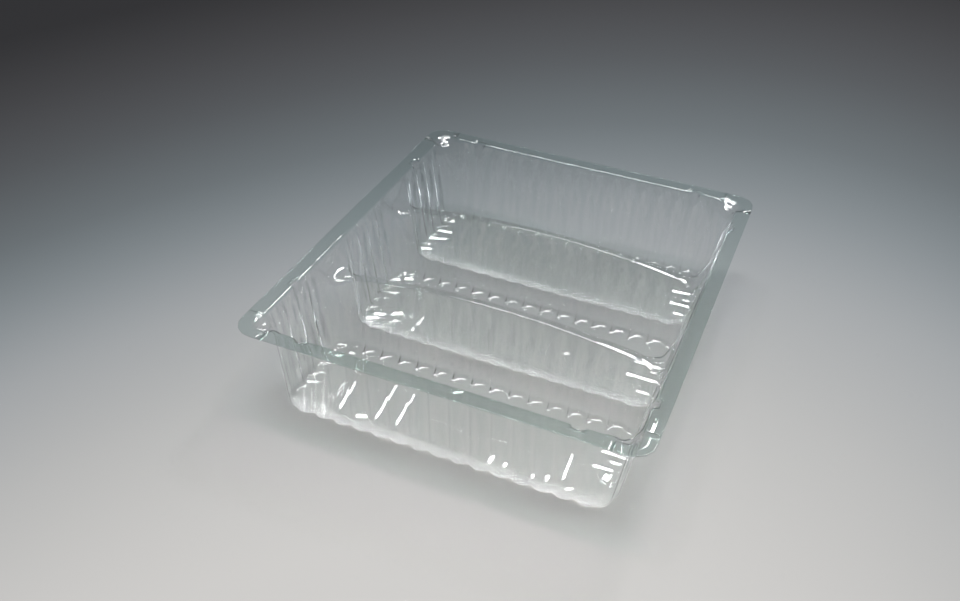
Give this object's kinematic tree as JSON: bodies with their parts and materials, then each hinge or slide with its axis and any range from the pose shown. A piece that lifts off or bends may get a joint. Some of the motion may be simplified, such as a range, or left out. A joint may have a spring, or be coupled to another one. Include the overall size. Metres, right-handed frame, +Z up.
{
  "type": "blister tray",
  "caption": "Clear thermoformed tray with parallel fluted troughs, hollow arched dividers between them and a flat stepped rim with rounded corners.",
  "frame": {"origin": "middle of the tray on the plane that the floors rest on", "axes": "+X along the troughs, +Y across them from front to back, +Z up out of the troughs"},
  "size_m": [0.18, 0.2, 0.046],
  "materials": {
    "clear_sheet": "clear glossy plastic sheet with a faint grey-green tint"
  },
  "bodies": {
    "root": {"tray": "clear_sheet"}
  },
  "joints": []
}
